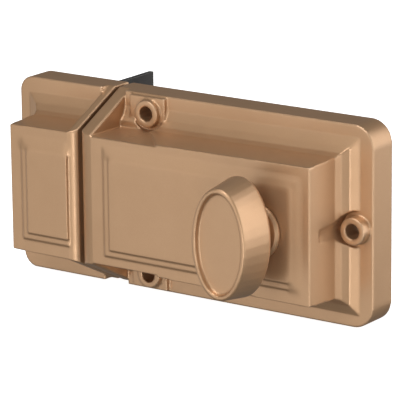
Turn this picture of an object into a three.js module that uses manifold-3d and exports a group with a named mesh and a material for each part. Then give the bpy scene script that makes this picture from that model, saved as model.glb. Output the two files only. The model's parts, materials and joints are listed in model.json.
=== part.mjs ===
// Rim night latch with its keeper, in millimetres.
// +X runs from the keeper towards the far end of the case, +Y points into the door, +Z is up.
// Sizes are laid out from the door's edge, which the case overhangs by 1 mm. The last group moves
// the origin to the middle of the case's mounting face.

import * as THREE from 'three';
import { mergeVertices } from 'three/addons/utils/BufferGeometryUtils.js';
import Module from 'manifold-3d';

const wasm = await Module();
wasm.setup();

// ---------------------------------------------------------------- driving dimensions

const caseLength = 86;
const caseHeight = 57;
const backset = 59.5;
const doorGap = 2.4;
const caseEdge = -1;
const keeperLength = 32;
const cornerRadius = 6.5;
const keeperCornerRadius = 4.5;

const flangeDepth = 9.6;
const faceDepth = 26;
const panelStep = 0.4;
const faceHeight = { atGap: 37.4, atCaseEnd: 38.8, atKeeperEnd: 36.8 };
const caseFaceLength = 76.2;
const keeperFaceLength = 23;
const caseRib = 4.2;
const keeperRib = 2.6;
const ribFoot = 6.4;
const bevelDepth = 1.6;

const wall = 2.5;
const lipWidth = 3;
const landWall = 2.6;
const clearance = 0.3;

const boltTravel = 12;
const boltHeight = 26;
const boltFront = -20;
const boltBack = -6;
const knobTurn = 60;

const halfHeight = caseHeight / 2;
const halfFace = faceHeight.atGap / 2;
const halfBolt = boltHeight / 2;
const wallInside = -faceDepth + wall;
const wellHalf = halfFace - wall;
const coreHalf = halfHeight - lipWidth;
const coreRadius = cornerRadius - lipWidth;
const keeperCoreRadius = keeperCornerRadius - lipWidth;
const keeperEdge = -doorGap;
const keeperEnd = keeperEdge - keeperLength;
const keeperFaceEnd = keeperEdge - keeperFaceLength;

// ---------------------------------------------------------------- solids

function toSolid(geometry) {
  const bare = geometry.clone();
  bare.deleteAttribute('normal');
  bare.deleteAttribute('uv');
  const merged = mergeVertices(bare, 1e-5);
  const index = merged.index.array;
  const triangles = [];
  for (let i = 0; i < index.length; i += 3) {
    const [a, b, c] = [index[i], index[i + 1], index[i + 2]];
    if (a !== b && b !== c && c !== a) triangles.push(a, b, c);
  }
  return new wasm.Manifold(new wasm.Mesh({
    numProp: 3,
    vertProperties: new Float32Array(merged.attributes.position.array),
    triVerts: new Uint32Array(triangles),
  }));
}

function toGeometry(solid) {
  const mesh = solid.getMesh();
  const geometry = new THREE.BufferGeometry();
  geometry.setAttribute('position', new THREE.BufferAttribute(mesh.vertProperties, 3));
  geometry.setIndex(new THREE.BufferAttribute(mesh.triVerts, 1));
  const flat = geometry.toNonIndexed();
  flat.computeVertexNormals();
  return flat;
}

function join(...solids) {
  return solids.reduce((whole, next) => whole.add(next));
}

function cut(solid, ...tools) {
  return tools.reduce((rest, tool) => rest.subtract(tool), solid);
}

// Turns a geometry so that its own x, y and z run along three given directions.
function turned(geometry, x, y, z) {
  const basis = new THREE.Matrix4().makeBasis(
    new THREE.Vector3(...x), new THREE.Vector3(...y), new THREE.Vector3(...z));
  return geometry.applyMatrix4(basis);
}

function extruded(shape, length, segments) {
  return new THREE.ExtrudeGeometry(shape, {
    depth: length, bevelEnabled: false, curveSegments: segments,
  });
}

// An outline drawn in X and Z, filled from y = front to y = back.
function alongY(shape, front, back, segments = 8) {
  const geometry = turned(extruded(shape, back - front, segments), [1, 0, 0], [0, 0, 1], [0, -1, 0]);
  return toSolid(geometry.translate(0, back, 0));
}

// An outline drawn in Y and Z, filled from x = left to x = right.
function alongX(shape, left, right) {
  const geometry = turned(extruded(shape, right - left, 8), [0, 1, 0], [0, 0, 1], [1, 0, 0]);
  return toSolid(geometry.translate(left, 0, 0));
}

// An outline drawn in X and Y, filled from z = low to z = high.
function alongZ(shape, low, high) {
  return toSolid(extruded(shape, high - low, 8).translate(0, 0, low));
}

function box(left, right, front, back, low, high) {
  const geometry = new THREE.BoxGeometry(right - left, back - front, high - low);
  return toSolid(geometry.translate((left + right) / 2, (front + back) / 2, (low + high) / 2));
}

// A round bar along Y.
function cylinder(radius, x, z, front, back, segments = 24) {
  const geometry = new THREE.CylinderGeometry(radius, radius, back - front, segments);
  return toSolid(geometry.translate(x, (front + back) / 2, z));
}

// A round bar along X.
function crossBar(radius, y, z, left, right, segments = 16) {
  const geometry = new THREE.CylinderGeometry(radius, radius, right - left, segments);
  return toSolid(geometry.rotateZ(-Math.PI / 2).translate((left + right) / 2, y, z));
}

// A turned piece about a line along Y. The profile is [radius, y] pairs.
function turnedAboutY(profile, x, z, segments = 32) {
  const points = profile.map(([radius, y]) => new THREE.Vector2(radius, y));
  return toSolid(new THREE.LatheGeometry(points, segments).translate(x, 0, z));
}

function polygon(points) {
  return new THREE.Shape(points.map(([a, b]) => new THREE.Vector2(a, b)));
}

// A solid through rings of points, from the back ring to the front ring.
function lofted(rings) {
  const count = rings[0].length;
  const position = rings.flat(2);
  const index = [];
  for (let k = 0; k + 1 < rings.length; k += 1) {
    for (let i = 0; i < count; i += 1) {
      const [a, b] = [k * count + i, k * count + (i + 1) % count];
      index.push(a, b, b + count, a, b + count, a + count);
    }
  }
  const last = (rings.length - 1) * count;
  for (let i = 1; i + 1 < count; i += 1) {
    index.push(0, i + 1, i);
    index.push(last, last + i, last + i + 1);
  }
  const geometry = new THREE.BufferGeometry();
  geometry.setAttribute('position', new THREE.Float32BufferAttribute(position, 3));
  geometry.setIndex(index);
  return toSolid(geometry);
}

// ---------------------------------------------------------------- casting shapes

// A plate outline with round corners at one end and square ones at the door gap.
function plateOutline(gapX, farX, half, radius) {
  const way = Math.sign(farX - gapX);
  const shape = new THREE.Shape();
  shape.moveTo(gapX, -half);
  shape.lineTo(farX - way * radius, -half);
  shape.absarc(farX - way * radius, radius - half, radius, -Math.PI / 2,
    way > 0 ? 0 : -Math.PI, way < 0);
  shape.lineTo(farX, half - radius);
  shape.absarc(farX - way * radius, half - radius, radius, way > 0 ? 0 : Math.PI,
    Math.PI / 2, way < 0);
  shape.lineTo(gapX, half);
  return shape;
}

// How far the raised body spreads beyond its face, against depth: a steep wall, then a cove.
const bodySpread = [
  [5.6, flangeDepth - 1],
  [5.6, flangeDepth],
  [2.8, flangeDepth + 1.1],
  [1.3, flangeDepth + 2.8],
  [0.5, flangeDepth + 4.8],
  [0, faceDepth],
];

// The raised body between the door gap and its far end, with mitred corners. Its face tapers
// a little from one end to the other.
function raisedBody(gapX, farX, farHalfFace) {
  const way = Math.sign(farX - gapX);
  const rings = bodySpread.map(([spread, depth]) => {
    const gapEnd = [gapX, halfFace + spread];
    const farEnd = [farX + way * spread, farHalfFace + spread];
    const [left, right] = way > 0 ? [gapEnd, farEnd] : [farEnd, gapEnd];
    return [
      [left[0], -depth, -left[1]],
      [right[0], -depth, -right[1]],
      [right[0], -depth, right[1]],
      [left[0], -depth, left[1]],
    ];
  });
  return lofted(rings);
}

// The end rib beside the door gap, straight from the plate's edge to the face's edge.
function endRib(gapX, way, width) {
  const outline = polygon([
    [-ribFoot, -halfHeight],
    [-ribFoot, halfHeight],
    [-faceDepth, halfFace],
    [-faceDepth, -halfFace],
  ]);
  const reach = [gapX, gapX + way * width].sort((a, b) => a - b);
  return alongX(outline, ...reach);
}

// The plate's two corners that the ribs' slopes take off.
function ribCorners(gapX, way, width) {
  const reach = [gapX - way, gapX + way * width].sort((a, b) => a - b);
  const upper = polygon([
    [-ribFoot, halfHeight],
    [-ribFoot, halfHeight + 5],
    [-faceDepth, halfHeight + 5],
    [-faceDepth, halfFace],
  ]);
  const lower = polygon([
    [-ribFoot, -halfHeight],
    [-faceDepth, -halfFace],
    [-faceDepth, -halfHeight - 5],
    [-ribFoot, -halfHeight - 5],
  ]);
  return [alongX(upper, ...reach), alongX(lower, ...reach)];
}

// The rounded edge beside the door gap, as shares of the rib's width and of the bevel's depth.
const bevelProfile = [[1, 0], [0.65, 0.14], [0.35, 0.38], [0.13, 0.7], [0, 1]];

// What comes off the face's edge at the door gap.
function gapBevel(gapX, way, width) {
  const outline = polygon([
    ...bevelProfile.map(([share, drop]) => [
      gapX + way * width * share, -faceDepth + bevelDepth * drop]),
    [gapX - way, -faceDepth + bevelDepth],
    [gapX - way, -faceDepth - 3],
    [gapX + way * width, -faceDepth - 3],
  ]);
  return alongZ(outline, -halfHeight, halfHeight);
}

// Two shallow steps that raise the middle of a face.
function panelSteps(left, right, half, inset) {
  return join(
    box(left, right, -faceDepth - panelStep, -faceDepth + 1, -half, half),
    box(left + inset[0], right - inset[1], -faceDepth - 2 * panelStep, -faceDepth + 1,
      2 - half, half - 2));
}

// The hollow behind a casting: a deep well under the face and a shallow core under the land.
function castingHollow(wellLeft, wellRight, coreOutline) {
  return join(
    box(wellLeft, wellRight, wallInside, 1, -wellHalf, wellHalf),
    alongY(coreOutline, -flangeDepth + landWall, 1));
}

// ---------------------------------------------------------------- latch case

const mountingScrews = [{ x: 12.7, z: 23.4 }, { x: 12.7, z: -23.4 }, { x: 81.2, z: -0.5 }];
const bossFront = -12.9;
const bossRadius = 3.9;
const screwHoleRadius = 2.15;
const pad = { x: 11.85, z: 23.4, half: 6.05, edge: 27.9, front: -11 };
const pocket = { far: 25.7, near: 12.7, front: -12, level: 18.4 };
const platePosts = [[30, 21.4], [70, 21.4], [30, -21.4], [70, -21.4]];
const postRadius = 3;
const postBack = -1.4 - clearance;
const collarHoleRadius = 5.5;
const springX = [24.3, 48.7];
const springY = -16;

// A low pad with a round inner end that runs out to the edge of the plate, above (side 1) or
// below (side -1).
function edgePad(side) {
  const shape = new THREE.Shape();
  const [start, end] = side > 0 ? [Math.PI, 2 * Math.PI] : [0, Math.PI];
  shape.moveTo(pad.x - side * pad.half, side * pad.edge);
  shape.lineTo(pad.x - side * pad.half, side * pad.z);
  shape.absarc(pad.x, side * pad.z, pad.half, start, end, false);
  shape.lineTo(pad.x + side * pad.half, side * pad.edge);
  return alongY(shape, pad.front, -flangeDepth + 1);
}

// The room for a screw's head and its driver in the body's wall.
function headRoom({ x, z }) {
  return cylinder(bossRadius + 1.3, x, z, -faceDepth + 4.5, -flangeDepth + 0.5);
}

// A shallow pocket in the body's wall, between the rib and a slanting end.
function wallPocket(side) {
  const outline = polygon([
    [caseEdge + caseRib, pocket.front],
    [caseEdge + caseRib, -faceDepth - 0.5],
    [pocket.far + 0.5, -faceDepth - 0.5],
    [pocket.near, pocket.front],
  ]);
  const reach = [side * pocket.level, side * (pocket.level + 4)].sort((a, b) => a - b);
  return alongZ(outline, ...reach);
}

function latchCase() {
  const flange = alongY(
    plateOutline(caseEdge, caseLength, halfHeight, cornerRadius), -flangeDepth, 0);
  const body = cut(
    join(raisedBody(caseEdge, caseFaceLength, faceHeight.atCaseEnd / 2),
      endRib(caseEdge, 1, caseRib)),
    gapBevel(caseEdge, 1, caseRib), wallPocket(1), wallPocket(-1),
    ...mountingScrews.map(headRoom));
  const outside = join(
    cut(flange, ...ribCorners(caseEdge, 1, caseRib)), body,
    edgePad(1), edgePad(-1),
    ...mountingScrews.map(({ x, z }) => cylinder(bossRadius, x, z, bossFront, -flangeDepth + 1)),
    panelSteps(7.6, 72.6, 15.4, [2.1, 2.1]));
  const hollow = castingHollow(
    lipWidth, caseFaceLength - wall,
    plateOutline(lipWidth, caseLength - lipWidth, coreHalf, coreRadius));
  const bosses = mountingScrews.map(
    ({ x, z }) => cylinder(bossRadius, x, z, -flangeDepth + 1, 0));
  const posts = platePosts.map(([x, z]) => cylinder(postRadius, x, z, -flangeDepth + 1, postBack, 16));
  const springStop = box(springX[1] + clearance, springX[1] + clearance + 2.6,
    wallInside - 1, springY + 4 - clearance, -4.5, 4.5);
  const mountingHoles = mountingScrews.map(
    ({ x, z }) => cylinder(screwHoleRadius, x, z, -30, 1));
  const postHoles = platePosts.map(
    ([x, z]) => cylinder(plateScrewRadius + clearance, x, z, -8.4, 0, 12));
  return cut(
    join(cut(outside, hollow), ...bosses, ...posts, springStop),
    ...mountingHoles, ...postHoles,
    box(caseEdge - 1, lipWidth + 1, boltFront - 0.35, boltBack + 0.35, -halfBolt - 0.35, halfBolt + 0.35),
    cylinder(collarHoleRadius, backset, 0, -40, -20, 32),
    crossBar(guidePinRadius + clearance, springY, 0, 48, 54));
}

// ---------------------------------------------------------------- back plate and its screws

const plateThickness = 1.4;
const plateScrewRadius = 1.1;
const plateScrewHead = 2.3;

// What a countersunk screw or rivet takes out of a plate, with its clearance.
function sink([x, z]) {
  return turnedAboutY([
    [0, -plateThickness - 1],
    [plateScrewRadius + clearance, -plateThickness - 1],
    [plateScrewRadius + clearance, -plateThickness + 0.1],
    [plateScrewHead + clearance, 0],
    [plateScrewHead + clearance, 0.5],
    [0, 0.5],
  ], x, z, 20);
}

function backPlate() {
  const outline = plateOutline(
    lipWidth + clearance, caseLength - lipWidth - clearance,
    coreHalf - clearance, coreRadius - clearance);
  return cut(
    alongY(outline, -plateThickness, 0),
    ...mountingScrews.map(({ x, z }) => cylinder(bossRadius + 0.4, x, z, -5, 1)),
    ...platePosts.map(sink),
    cylinder(7.5, backset, 0, -5, 1, 32));
}

function countersunkPin([x, z]) {
  return turnedAboutY([
    [0, -7.8],
    [plateScrewRadius, -7.8],
    [plateScrewRadius, -plateThickness + 0.1],
    [plateScrewHead, -0.15],
    [0, -0.15],
  ], x, z, 20);
}

function plateScrew([x, z]) {
  return cut(countersunkPin([x, z]), box(x - 1.8, x + 1.8, -0.6, 0.5, z - 0.3, z + 0.3));
}

// ---------------------------------------------------------------- latch bolt and spring

const armRadius = boltTravel / (2 * Math.sin(THREE.MathUtils.degToRad(knobTurn / 2)));
const pinX = backset - boltTravel / 2;
const pinZ = armRadius * Math.cos(THREE.MathUtils.degToRad(knobTurn / 2));
const drivePinRadius = 1.8;
const guidePinRadius = 1.2;
const boltShoulder = 24;
const tail = { front: -12, back: -8 };

function latchBolt() {
  const head = alongZ(polygon([
    [-boltTravel, boltFront],
    [boltShoulder, boltFront],
    [boltShoulder, boltBack],
    [-1.5, boltBack],
    [-boltTravel, -17.5],
  ]), -halfBolt, halfBolt);
  const slotHalf = drivePinRadius + clearance;
  const web = 1.7;
  const tailTop = armRadius + drivePinRadius + 2;
  const tailPlate = join(
    box(boltShoulder - 1, 41.5, tail.front, tail.back, -halfBolt, tailTop),
    box(41, pinX + slotHalf + web, tail.front, tail.back, 7.2, tailTop));
  const pinSlot = box(pinX - slotHalf, pinX + slotHalf, -14, -7,
    pinZ - slotHalf - 0.4, armRadius + slotHalf + 0.3);
  return cut(
    join(head, tailPlate),
    pinSlot,
    crossBar(guidePinRadius + 0.4, springY, 0, 12, 30));
}

class Coil extends THREE.Curve {
  constructor(start, end, radius, turns) {
    super();
    Object.assign(this, { start, end, radius, turns });
  }

  getPoint(t, target = new THREE.Vector3()) {
    const angle = 2 * Math.PI * this.turns * t;
    return target.set(
      this.start + (this.end - this.start) * t,
      springY + this.radius * Math.cos(angle),
      this.radius * Math.sin(angle));
  }
}

function boltSpring() {
  const wire = 0.5;
  const turns = 8;
  const path = new Coil(springX[0] + wire, springX[1] - wire, 2.9, turns);
  const section = new THREE.Shape().absarc(0, 0, wire, 0, 2 * Math.PI, false);
  return toSolid(new THREE.ExtrudeGeometry(section, {
    extrudePath: path, steps: turns * 12, curveSegments: 3,
  }));
}

function springGuidePin() {
  return join(
    crossBar(guidePinRadius, springY, 0, 27, 52.6),
    crossBar(guidePinRadius + 0.8, springY, 0, 51.9, 53.1));
}

// ---------------------------------------------------------------- knob and retractor

const knob = {
  front: -45.2, back: -32.8, holeDepth: 7,
  frontHalf: [8.7, 15.5], backHalf: [9.9, 16.9],
};
const neckRadius = 5.2;
const spindleRadius = 3.2;
const collarFront = -faceDepth - 2 * panelStep - 1.7;
const crossPinY = -17.5;

function ovalRing(halfWidth, halfTall, y, count = 40) {
  return Array.from({ length: count }, (_, i) => {
    const angle = 2 * Math.PI * i / count;
    return [backset + halfWidth * Math.cos(angle), y, halfTall * Math.sin(angle)];
  });
}

function knobHead() {
  const [frontWide, frontTall] = knob.frontHalf;
  const [backWide, backTall] = knob.backHalf;
  const head = lofted([
    ovalRing(backWide - 2.4, backTall - 2.6, knob.back),
    ovalRing(backWide - 0.6, backTall - 0.7, knob.back - 0.7),
    ovalRing(backWide, backTall, knob.back - 1.9),
    ovalRing(frontWide, frontTall, knob.front + 0.4),
    ovalRing(frontWide - 0.4, frontTall - 0.4, knob.front),
  ]);
  const dish = lofted([
    ovalRing(frontWide - 1.6, frontTall - 1.6, knob.front + 1.5),
    ovalRing(frontWide - 1.2, frontTall - 1.2, knob.front - 1),
  ]);
  const socket = cylinder(spindleRadius + clearance, backset, 0, knob.back - knob.holeDepth, -30);
  return cut(head, dish, socket);
}

function knobShank() {
  const neckBack = collarFront - clearance;
  const body = turnedAboutY([
    [0, knob.back - knob.holeDepth + 0.5],
    [spindleRadius, knob.back - knob.holeDepth + 0.5],
    [spindleRadius, knob.back + clearance],
    [neckRadius + 1, knob.back + clearance],
    [neckRadius, knob.back + 1.6],
    [neckRadius, neckBack],
    [spindleRadius, neckBack],
    [spindleRadius, -9.5],
    [0, -9.5],
  ], backset, 0);
  return cut(body, crossBar(1.5, crossPinY, 0, backset - 8, backset + 8, 12));
}

function knobCollar() {
  const face = -faceDepth - 2 * panelStep;
  return turnedAboutY([
    [spindleRadius + clearance, collarFront],
    [7.2, collarFront],
    [8, collarFront + 0.7],
    [8, face - clearance],
    [collarHoleRadius - clearance, face - clearance],
    [collarHoleRadius - clearance, -21.4],
    [spindleRadius + clearance, -21.4],
    [spindleRadius + clearance, collarFront],
  ], backset, 0);
}

function ring(outer, inner, front, back) {
  return turnedAboutY([
    [inner, front], [outer, front], [outer, back], [inner, back], [inner, front],
  ], backset, 0);
}

// The hub's arm, drawn upright, then turned back by half of the knob's turn.
function retractorHub() {
  const barrel = cylinder(5.6, backset, 0, -21, -4.2, 32);
  const shape = new THREE.Shape();
  shape.absarc(0, 0, 4.6, Math.PI, 2 * Math.PI, false);
  shape.lineTo(3.2, armRadius);
  shape.absarc(0, armRadius, 3.2, 0, Math.PI, false);
  const arm = toSolid(turned(extruded(shape, 3.2, 6), [1, 0, 0], [0, 0, 1], [0, -1, 0])
    .translate(0, -12.4, 0)
    .rotateY(-THREE.MathUtils.degToRad(knobTurn / 2))
    .translate(backset, 0, 0));
  const bore = cylinder(spindleRadius + clearance, backset, 0, -25, -9, 24);
  const tailpieceSlot = box(backset - 4, backset + 4, -10, -3, -1.1, 1.1);
  return cut(
    join(barrel, arm),
    bore, tailpieceSlot,
    cylinder(drivePinRadius + clearance, pinX, pinZ, -16, -12, 16),
    crossBar(1.5, crossPinY, 0, backset - 8, backset + 8, 12));
}

// ---------------------------------------------------------------- keeper and strike plate

const keeperWall = 2.2;
const legRight = keeperEdge - keeperWall - clearance;
const legDepth = 15.3;
const rivets = [[-24, 20.8], [-24, -20.8]];
const strikeScrews = [-17, 17];

function keeperCasting() {
  const flange = alongY(
    plateOutline(keeperEdge, keeperEnd, halfHeight, keeperCornerRadius), -flangeDepth, 0);
  const body = join(
    raisedBody(keeperEdge, keeperFaceEnd, faceHeight.atKeeperEnd / 2),
    endRib(keeperEdge, -1, keeperRib));
  const outside = join(
    cut(flange, ...ribCorners(keeperEdge, -1, keeperRib)),
    cut(body, gapBevel(keeperEdge, -1, keeperRib)),
    panelSteps(-21.3, keeperEdge - keeperRib, 14.6, [2, 0]));
  const hollow = castingHollow(
    keeperFaceEnd + wall, keeperEdge - keeperWall,
    plateOutline(keeperEdge - keeperWall, keeperEnd + lipWidth, coreHalf, keeperCoreRadius));
  const posts = rivets.map(([x, z]) => cylinder(postRadius, x, z, -flangeDepth + 1,
    -plateThickness - clearance, 16));
  return cut(
    join(cut(outside, hollow), ...posts),
    ...rivets.map(([x, z]) => cylinder(plateScrewRadius + clearance, x, z, -8.4, 0, 12)),
    box(keeperEdge - 6, keeperEdge + 1, boltFront - 1.2, boltBack + 1.2,
      -halfBolt - 1, halfBolt + 1));
}

function strikePlate() {
  const footOutline = plateOutline(
    legRight, keeperEnd + lipWidth + clearance, coreHalf - clearance,
    keeperCoreRadius - clearance);
  const foot = alongY(footOutline, -plateThickness, 0);
  const leg = join(
    box(legRight - plateThickness, legRight, -plateThickness, 1,
      clearance - coreHalf, coreHalf - clearance),
    box(legRight - plateThickness, legRight, clearance, legDepth, 0.2 - halfHeight, halfHeight - 0.2));
  const holes = strikeScrews.map((z) => crossBar(2.2, 8.5, z, legRight - 5, legRight + 5));
  return cut(
    join(foot, leg),
    ...holes,
    ...rivets.map(sink));
}

// ---------------------------------------------------------------- assembly

const paint = new THREE.MeshStandardMaterial({ color: 0xb8906d, roughness: 0.42, metalness: 0.6 });
const steel = new THREE.MeshStandardMaterial({ color: 0x8d8c8a, roughness: 0.4, metalness: 1 });
const darkSteel = new THREE.MeshStandardMaterial({ color: 0x4a4745, roughness: 0.5, metalness: 0.9 });
const brass = new THREE.MeshStandardMaterial({ color: 0xb59a55, roughness: 0.35, metalness: 1 });

const assembly = new THREE.Group();
assembly.position.x = -caseLength / 2;

function place(name, solid, material) {
  const mesh = new THREE.Mesh(toGeometry(solid), material);
  mesh.name = name;
  assembly.add(mesh);
}

place('latch_case', latchCase(), paint);
place('back_plate', backPlate(), steel);
platePosts.forEach((post, i) => place(`back_plate_screw_${i + 1}`, plateScrew(post), steel));
place('latch_bolt', latchBolt(), brass);
place('bolt_spring', boltSpring(), steel);
place('spring_guide_pin', springGuidePin(), steel);
place('knob', knobHead(), paint);
place('knob_shank', knobShank(), paint);
place('knob_collar', knobCollar(), paint);
place('collar_retaining_ring', ring(7.4, collarHoleRadius, wallInside + clearance, -21.8), steel);
place('retractor_hub', retractorHub(), steel);
place('hub_drive_pin', cylinder(drivePinRadius, pinX, pinZ, -15.4, -7.2, 16), steel);
place('hub_cross_pin', crossBar(1.2, crossPinY, 0, backset - 5.4, backset + 5.4, 12), steel);
place('hub_thrust_washer', ring(5.4, 4.3, -3.9, -plateThickness - clearance - 1), brass);
place('keeper', keeperCasting(), paint);
place('strike_plate', strikePlate(), darkSteel);
rivets.forEach((spot, i) => place(`strike_rivet_${i + 1}`, countersunkPin(spot), steel));

const nightLatch = new THREE.Group();
nightLatch.add(assembly);

export default nightLatch;
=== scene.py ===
"""Looks of a rim night latch and its keeper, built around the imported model.

Lengths are in millimetres until the last step, which turns them into the frame's metres.
"""

import json
import math

import bmesh
import bpy
import numpy as np
from mathutils import Matrix, Vector


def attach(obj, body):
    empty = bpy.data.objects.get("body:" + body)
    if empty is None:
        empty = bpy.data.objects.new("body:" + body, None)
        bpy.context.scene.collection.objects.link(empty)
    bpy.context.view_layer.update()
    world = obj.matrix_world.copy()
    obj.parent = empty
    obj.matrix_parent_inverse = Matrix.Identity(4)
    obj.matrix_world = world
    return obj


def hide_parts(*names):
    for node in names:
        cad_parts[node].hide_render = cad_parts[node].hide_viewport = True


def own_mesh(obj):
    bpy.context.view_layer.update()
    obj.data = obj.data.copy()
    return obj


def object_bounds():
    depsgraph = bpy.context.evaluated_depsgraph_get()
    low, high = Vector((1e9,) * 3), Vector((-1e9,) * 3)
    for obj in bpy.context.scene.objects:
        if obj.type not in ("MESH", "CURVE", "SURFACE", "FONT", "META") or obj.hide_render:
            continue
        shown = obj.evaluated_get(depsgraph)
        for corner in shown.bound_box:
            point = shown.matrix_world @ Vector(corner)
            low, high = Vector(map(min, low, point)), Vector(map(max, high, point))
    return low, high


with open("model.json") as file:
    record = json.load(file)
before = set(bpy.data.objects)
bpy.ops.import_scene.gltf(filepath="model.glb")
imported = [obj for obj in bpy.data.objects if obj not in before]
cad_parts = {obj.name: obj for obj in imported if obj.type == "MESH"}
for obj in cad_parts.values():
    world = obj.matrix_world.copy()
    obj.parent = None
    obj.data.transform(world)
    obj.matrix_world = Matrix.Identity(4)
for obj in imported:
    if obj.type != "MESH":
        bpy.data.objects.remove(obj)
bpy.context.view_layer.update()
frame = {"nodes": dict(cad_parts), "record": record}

MM = 0.001
WELD_DISTANCE = 0.002 * MM

# A vertex that stands out of its neighbours by this share of a voxel has an EDGE value of 1.5.
EDGE_SPAN = 0.5
EDGE_BLUR_ROUNDS = 4
WORN_ROUNDS = 90
CREASE_ANGLE = math.radians(35)
FLAT_ANGLE = math.radians(1)
COIL_STEPS_PER_TURN = 28

# ------------------------------------------------------------------ meshes


def add_object(name, data):
    """Puts an object into the scene."""
    piece = bpy.data.objects.new(name, data)
    bpy.context.scene.collection.objects.link(piece)
    return piece


def final_mesh(piece):
    """The piece's shape after its modifiers, as a new mesh."""
    bpy.context.view_layer.update()
    depsgraph = bpy.context.evaluated_depsgraph_get()
    return bpy.data.meshes.new_from_object(piece.evaluated_get(depsgraph))


def bake_modifiers(piece):
    """Turns the piece's modifiers into plain mesh."""
    mesh = final_mesh(piece)
    piece.modifiers.clear()
    piece.data = mesh


def shade_smooth(mesh):
    for polygon in mesh.polygons:
        polygon.use_smooth = True


def add_weld(piece):
    """Joins the separate corners of a CAD node's triangles."""
    piece.modifiers.new("weld", "WELD").merge_threshold = WELD_DISTANCE


def add_smooth(piece, rounds):
    """Moves each vertex half way to its neighbours, a number of times."""
    smooth = piece.modifiers.new("smooth", "SMOOTH")
    smooth.factor = 0.5
    smooth.iterations = rounds
    return smooth


def points(mesh):
    """The vertices' places as an array of rows."""
    place = np.empty(len(mesh.vertices) * 3, np.float32)
    mesh.vertices.foreach_get("co", place)
    return place.reshape(-1, 3)


def bulge(mesh, rounds):
    """How far each vertex stands out of its neighbours, in mm: above 0 on edges, below 0 in corners."""
    count = len(mesh.vertices)
    place = points(mesh).astype(np.float64) / MM
    normal = np.empty(count * 3, np.float32)
    mesh.vertex_normals.foreach_get("vector", normal)
    normal = normal.reshape(-1, 3)
    ends = np.empty(len(mesh.edges) * 2, np.int32)
    mesh.edges.foreach_get("vertices", ends)
    a, b = ends.reshape(-1, 2).T
    degree = np.maximum(np.bincount(a, minlength=count) + np.bincount(b, minlength=count), 1)

    def neighbours(values):
        total = np.bincount(a, values[b], count) + np.bincount(b, values[a], count)
        return total / degree

    around = np.stack([neighbours(place[:, k]) for k in range(3)], 1)
    height = ((place - around) * normal).sum(1)
    for _ in range(rounds):
        height = 0.5 * height + 0.5 * neighbours(height)
    return height


def keep_inside(mesh, limit):
    """Holds a mesh inside the box of another one."""
    low, high = points(limit).min(0), points(limit).max(0)
    mesh.vertices.foreach_set("co", np.clip(points(mesh), low, high).ravel())
    mesh.update()


def wear_down(piece, boxes):
    """Smooths a piece further inside boxes of (low, high) corners, in mm."""
    place = points(piece.data) / MM
    inside = np.zeros(len(place), bool)
    for low, high in boxes:
        inside |= ((place > low) & (place < high)).all(1)
    group = piece.vertex_groups.new(name="worn")
    group.add([int(i) for i in np.flatnonzero(inside)], 1.0, "REPLACE")
    add_smooth(piece, WORN_ROUNDS).vertex_group = group.name
    bake_modifiers(piece)
    piece.vertex_groups.clear()


def soft_cast_copy(node, voxel, rounds, keep):
    """A CAD node's shape with the soft edges of a casting: an even fine mesh, smoothed a little,
    then thinned to the kept share. Its EDGE attribute is 0.5 on flat ground and more on edges."""
    source = frame["nodes"][node]
    mesh = source.data.copy()
    mesh.materials.clear()
    piece = add_object(node + "_cast", mesh)
    add_weld(piece)
    remesh = piece.modifiers.new("remesh", "REMESH")
    remesh.mode = "VOXEL"
    remesh.voxel_size = voxel * MM
    remesh.use_smooth_shade = True
    add_smooth(piece, rounds)
    bake_modifiers(piece)
    if node in WORN_STEPS:
        wear_down(piece, WORN_STEPS[node])
    keep_inside(piece.data, source.data)
    height = bulge(piece.data, EDGE_BLUR_ROUNDS) / voxel
    edge = piece.data.attributes.new("EDGE", "FLOAT", "POINT")
    edge.data.foreach_set("value", (0.5 + height / EDGE_SPAN).astype(np.float32))
    if keep < 1:
        thin = piece.modifiers.new("thin", "DECIMATE")
        thin.ratio = keep
        bake_modifiers(piece)
    shade_smooth(piece.data)
    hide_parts(node)
    return piece


def rounded(node, width):
    """Softens a carried-over CAD node's edges, and leaves its mesh as it is."""
    piece = frame["nodes"][node]
    add_weld(piece)
    flat = piece.modifiers.new("flat", "DECIMATE")
    flat.decimate_type = "DISSOLVE"
    flat.angle_limit = FLAT_ANGLE
    bevel = piece.modifiers.new("bevel", "BEVEL")
    bevel.width = width * MM
    bevel.segments = 2
    bevel.limit_method = "ANGLE"
    bevel.angle_limit = CREASE_ANGLE


def helix_spring(name, start, end, turns, radius, wire, y, z):
    """A coil spring along X, from x = start to x = end, with its two end turns closed."""
    curve = bpy.data.curves.new(name, "CURVE")
    curve.dimensions = "3D"
    curve.bevel_depth = wire * MM
    curve.bevel_resolution = 3
    curve.use_fill_caps = True
    steps = int(turns * COIL_STEPS_PER_TURN)
    spline = curve.splines.new("POLY")
    spline.points.add(steps)
    # The first and last turn lie against each other; the rest are open.
    closed = wire * 2.1
    middle = (end - start - 2 * wire) - 2 * closed
    for i in range(steps + 1):
        turn = i / steps * turns
        if turn < 1:
            run = closed * turn
        elif turn > turns - 1:
            run = closed + middle + closed * (turn - turns + 1)
        else:
            run = closed + middle * (turn - 1) / (turns - 2)
        angle = turn * 2 * math.pi
        place = (start + wire + run, y + radius * math.cos(angle), z + radius * math.sin(angle))
        spline.points[i].co = (*(v * MM for v in place), 1)
    coil = add_object(name + "_curve", curve)
    mesh = final_mesh(coil)
    bpy.data.objects.remove(coil)
    shade_smooth(mesh)
    return add_object(name, mesh)


# ------------------------------------------------------------------ materials


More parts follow.
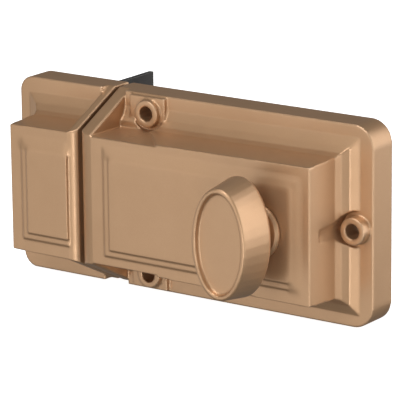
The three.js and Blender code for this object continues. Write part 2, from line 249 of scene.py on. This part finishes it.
class Nodes:
    """A small helper that builds one material's node tree."""

    def __init__(self, name):
        self.material = bpy.data.materials.new(name)
        self.material.use_nodes = True
        self.tree = self.material.node_tree
        self.surface = self.tree.nodes["Principled BSDF"]
        self.place = self.add("ShaderNodeTexCoord").outputs["Object"]

    def add(self, kind, **settings):
        """A new node with its settings."""
        node = self.tree.nodes.new(kind)
        for key, value in settings.items():
            setattr(node, key, value)
        return node

    def link(self, source, target):
        self.tree.links.new(source, target)

    def noise(self, scale, detail=2.0, roughness=0.5, stretch=(1, 1, 1)):
        """Noise of about 1 / scale metres, from 0 to 1."""
        mapping = self.add("ShaderNodeMapping")
        mapping.inputs["Scale"].default_value = stretch
        self.link(self.place, mapping.inputs["Vector"])
        node = self.add("ShaderNodeTexNoise")
        node.inputs["Scale"].default_value = scale
        node.inputs["Detail"].default_value = detail
        node.inputs["Roughness"].default_value = roughness
        self.link(mapping.outputs["Vector"], node.inputs["Vector"])
        return node.outputs["Fac"]

    def ramp(self, value, *stops):
        """Maps a value through (position, colour or level) stops."""
        node = self.add("ShaderNodeValToRGB")
        elements = node.color_ramp.elements
        while len(elements) < len(stops):
            elements.new(0.5)
        for element, (position, level) in zip(elements, stops):
            element.position = position
            element.color = (*level, 1) if isinstance(level, tuple) else (level, level, level, 1)
        self.link(value, node.inputs["Fac"])
        return node.outputs["Color"]

    def mix(self, share, first, second):
        """Blends two colours; each input is a colour, a number or another node's output."""
        node = self.add("ShaderNodeMix", data_type="RGBA")
        for socket, value in ((0, share), (6, first), (7, second)):
            if isinstance(value, tuple):
                node.inputs[socket].default_value = (*value, 1)
            elif isinstance(value, (int, float)):
                node.inputs[socket].default_value = value
            else:
                self.link(value, node.inputs[socket])
        return node.outputs[2]

    def remap(self, value, low, high):
        """Turns 0..1 into low..high."""
        node = self.add("ShaderNodeMapRange")
        node.inputs["To Min"].default_value = low
        node.inputs["To Max"].default_value = high
        self.link(value, node.inputs["Value"])
        return node.outputs["Result"]

    def bump(self, height, distance, strength, after=None):
        """A normal that follows a height, on top of another normal if one is given."""
        node = self.add("ShaderNodeBump")
        node.inputs["Strength"].default_value = strength
        node.inputs["Distance"].default_value = distance
        self.link(height, node.inputs["Height"])
        if after is not None:
            self.link(after, node.inputs["Normal"])
        return node.outputs["Normal"]

    def edges(self, low, high):
        """0 on flat ground, 1 on convex edges, of a piece made by soft_cast_copy."""
        edge = self.add("ShaderNodeAttribute", attribute_name="EDGE").outputs["Fac"]
        return self.ramp(edge, (low, 0.0), (high, 1.0))

    def pointed(self, width):
        """0 on flat ground, 1 on the sharp edges of a CAD node, within a width in mm."""
        bevel = self.add("ShaderNodeBevel", samples=6)
        bevel.inputs["Radius"].default_value = width * MM
        flat = self.add("ShaderNodeNewGeometry").outputs["Normal"]
        align = self.add("ShaderNodeVectorMath", operation="DOT_PRODUCT")
        self.link(bevel.outputs["Normal"], align.inputs[0])
        self.link(flat, align.inputs[1])
        return self.ramp(align.outputs["Value"], (0.86, 1.0), (0.985, 0.0))

    def finish(self, color, roughness, normal, **constants):
        """Joins the surface's inputs, sets the rest, and gives the material."""
        self.link(color, self.surface.inputs["Base Color"])
        self.link(roughness, self.surface.inputs["Roughness"])
        self.link(normal, self.surface.inputs["Normal"])
        for name, value in constants.items():
            self.surface.inputs[name.replace("_", " ")].default_value = value
        return self.material


def bronze_paint():
    nodes = Nodes("bronze_paint")
    cloud = nodes.noise(45, 3)
    flake = nodes.noise(5200, 1, 0.4)
    tan = nodes.ramp(cloud, (0.3, (0.485, 0.285, 0.148)), (0.7, (0.515, 0.308, 0.165)))
    speckled = nodes.mix(nodes.remap(flake, 0.0, 0.30), tan, (0.66, 0.44, 0.27))
    worn = nodes.mix(nodes.edges(0.62, 0.95), speckled, (0.70, 0.50, 0.33))
    roughness = nodes.remap(nodes.noise(260, 3), 0.40, 0.50)
    peel = nodes.bump(nodes.noise(1500, 2), 0.00002, 0.5)
    grain = nodes.bump(flake, 0.00001, 0.5, after=peel)
    return nodes.finish(worn, roughness, grain, Metallic=0.75, Coat_Weight=0.4, Coat_Roughness=0.3)


def plated_steel():
    nodes = Nodes("plated_steel")
    cloud = nodes.noise(70, 3)
    brushed = nodes.noise(900, 2, 0.6, stretch=(0.15, 1, 1))
    zinc = nodes.ramp(cloud, (0.25, (0.42, 0.42, 0.41)), (0.75, (0.55, 0.54, 0.52)))
    worn = nodes.mix(nodes.pointed(0.35), zinc, (0.75, 0.74, 0.72))
    roughness = nodes.remap(brushed, 0.28, 0.48)
    return nodes.finish(worn, roughness, nodes.bump(brushed, 0.00001, 0.4), Metallic=1.0)


def dark_steel():
    nodes = Nodes("dark_steel")
    cloud = nodes.noise(60, 3)
    grain = nodes.noise(2600, 2)
    dark = nodes.ramp(cloud, (0.25, (0.035, 0.033, 0.032)), (0.75, (0.075, 0.070, 0.066)))
    worn = nodes.mix(nodes.pointed(0.35), dark, (0.20, 0.19, 0.18))
    roughness = nodes.remap(nodes.noise(400, 3), 0.42, 0.62)
    return nodes.finish(worn, roughness, nodes.bump(grain, 0.00001, 0.5), Metallic=0.8)


def brass():
    nodes = Nodes("brass")
    cloud = nodes.noise(80, 3)
    drawn = nodes.noise(1100, 2, 0.6, stretch=(0.12, 1, 1))
    yellow = nodes.ramp(cloud, (0.25, (0.56, 0.40, 0.17)), (0.75, (0.70, 0.52, 0.25)))
    worn = nodes.mix(nodes.pointed(0.35), yellow, (0.85, 0.70, 0.42))
    roughness = nodes.remap(drawn, 0.24, 0.42)
    return nodes.finish(worn, roughness, nodes.bump(drawn, 0.00001, 0.4), Metallic=1.0)


FINISHES = {
    "bronze_paint": bronze_paint(),
    "plated_steel": plated_steel(),
    "dark_steel": dark_steel(),
    "brass": brass(),
}


def paint(piece, slot):
    """Gives a piece the finish of a material slot."""
    piece.data.materials.clear()
    piece.data.materials.append(FINISHES[slot])


# ------------------------------------------------------------------ pieces

# The bolt spring: its ends along X, turns, coil radius, wire radius and axis (y, z), in mm.
SPRING_ENDS = (-18.4, 5.4)
SPRING_TURNS = 8
SPRING_RADIUS = 2.35
SPRING_WIRE = 0.5
SPRING_AXIS = (-16.0, 0.0)

# The width of a CAD node's rounded edges, in mm.
EDGE_ROUNDING = {"latch_bolt": 0.4, "hub_cross_pin": 0.2}
USUAL_ROUNDING = 0.15

BODY_OF = {n: body for body, members in frame["record"]["behaviour"]["bodies"].items() for n in members}
SLOT_OF = {part["node"]: part["material_slot"] for part in frame["record"]["subparts"]}

# Where a face's raised steps are worn soft: along its top, and at the case's far end.
WORN_STEPS = {
    "latch_case": [((-36, -27.5, 12.2), (31, -25.6, 16.6)), ((26.2, -27.5, -17), (31, -25.6, 16.6))],
    "keeper": [((-66, -27.5, 11.4), (-47, -25.6, 15.8))],
}

# node: voxel in mm, smoothing rounds, share of the triangles that is kept
CAST = {
    "latch_case": (0.26, 4, 0.27),
    "keeper": (0.26, 4, 0.62),
    "knob": (0.22, 16, 1.0),
    "knob_shank": (0.2, 3, 0.6),
    "knob_collar": (0.16, 3, 0.6),
}

for node, (voxel, rounds, keep) in CAST.items():
    casting = soft_cast_copy(node, voxel, rounds, keep)
    paint(casting, SLOT_OF[node])
    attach(casting, BODY_OF[node])

spring = helix_spring(
    "bolt_spring_coil", *SPRING_ENDS, SPRING_TURNS, SPRING_RADIUS, SPRING_WIRE, *SPRING_AXIS)
paint(spring, SLOT_OF["bolt_spring"])
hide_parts("bolt_spring")
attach(spring, BODY_OF["bolt_spring"])
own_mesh(spring)

for node, piece in frame["nodes"].items():
    if node not in CAST and node != "bolt_spring":
        rounded(node, EDGE_ROUNDING.get(node, USUAL_ROUNDING))
        piece.data.materials.clear()
        piece.data.materials.append(FINISHES[SLOT_OF[node]])

# ------------------------------------------------------------------ camera, lights and floor

CAMERA_AZIMUTH = 35.357
CAMERA_HEIGHT = 14.857
CAMERA_ROLL = -0.619
CAMERA_DISTANCE = 0.877449
CAMERA_AIM = Vector((-0.0137, -0.0103, 0.0004))
FOCAL_LENGTH = 282.53
SENSOR = 36.0
CLIP_END = 20.0
FLOOR_SIZE = 4.0
FLOOR_GAP = 0.0003
WORLD_LEVEL = 0.12


def toward(azimuth, height):
    """The unit vector at an azimuth from -Y towards +X, and a height above level, in degrees."""
    a, h = math.radians(azimuth), math.radians(height)
    return Vector((math.sin(a) * math.cos(h), -math.cos(a) * math.cos(h), math.sin(h)))


def add_camera():
    """The camera, which looks at CAMERA_AIM from its direction and is rolled a little."""
    back = toward(CAMERA_AZIMUTH, CAMERA_HEIGHT)
    side = Vector((0, 0, 1)).cross(back).normalized()
    roll = Matrix.Rotation(math.radians(CAMERA_ROLL), 3, back)
    right = roll @ side
    up = back.cross(right)
    data = bpy.data.cameras.new("camera")
    data.lens = FOCAL_LENGTH
    data.sensor_width = SENSOR
    data.clip_end = CLIP_END
    camera = bpy.data.objects.new("camera", data)
    turn = Matrix((right, up, back)).transposed()
    camera.matrix_world = Matrix.Translation(CAMERA_AIM + back * CAMERA_DISTANCE) @ turn.to_4x4()
    bpy.context.scene.collection.objects.link(camera)
    bpy.context.scene.camera = camera


def add_softbox(name, azimuth, height, distance, size, power):
    """A soft light that faces CAMERA_AIM."""
    data = bpy.data.lights.new(name, "AREA")
    data.shape = "RECTANGLE"
    data.size, data.size_y = size
    data.energy = power
    lamp = bpy.data.objects.new(name, data)
    away = toward(azimuth, height)
    lamp.location = CAMERA_AIM + away * distance
    lamp.rotation_euler = away.to_track_quat("Z", "Y").to_euler()
    bpy.context.scene.collection.objects.link(lamp)


def add_floor():
    """A plain floor that the camera sees, and that neither lights the object nor hides a light from it."""
    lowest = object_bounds()[0][2]
    mesh = bpy.data.meshes.new("floor")
    shape = bmesh.new()
    bmesh.ops.create_grid(shape, x_segments=2, y_segments=2, size=FLOOR_SIZE)
    bmesh.ops.translate(shape, verts=shape.verts, vec=(0, 0, lowest - FLOOR_GAP))
    shape.to_mesh(mesh)
    shape.free()
    floor = add_object("floor", mesh)
    floor.visible_diffuse = False
    floor.visible_glossy = False
    floor.visible_shadow = False
    material = bpy.data.materials.new("pale_floor")
    material.use_nodes = True
    surface = material.node_tree.nodes["Principled BSDF"]
    surface.inputs["Base Color"].default_value = (0.9, 0.9, 0.9, 1)
    surface.inputs["Roughness"].default_value = 0.9
    surface.inputs["Emission Color"].default_value = (1, 1, 1, 1)
    surface.inputs["Emission Strength"].default_value = 0.9
    floor.data.materials.append(material)


def set_world(level):
    """Even grey light from all around."""
    world = bpy.data.worlds.new("studio")
    world.use_nodes = True
    world.node_tree.nodes["Background"].inputs["Color"].default_value = (level, level, level, 1)
    bpy.context.scene.world = world


# name: azimuth and height in degrees, distance in m, size in m, power in W
SOFTBOXES = {
    "front": (-12, -3, 1.3, (1.2, 1.4), 3.6),
    "front_left": (-35, -8, 1.3, (0.8, 1.0), 1.6),
    "left": (-88, -8, 1.2, (0.8, 1.0), 1.6),
    "near_camera": (28, -14, 1.2, (0.35, 0.5), 4.3),
    "right": (88, 2, 1.3, (1.0, 1.1), 6.2),
    "right_back": (130, 14, 1.2, (1.0, 1.2), 7.8),
    "high": (0, 40, 1.2, (0.6, 0.5), 4.6),
    "top": (5, 75, 1.2, (0.7, 0.5), 6.0),
}

add_camera()
for name, light in SOFTBOXES.items():
    add_softbox(name, *light)
add_floor()
set_world(WORLD_LEVEL)
bpy.context.scene.view_settings.view_transform = "Standard"
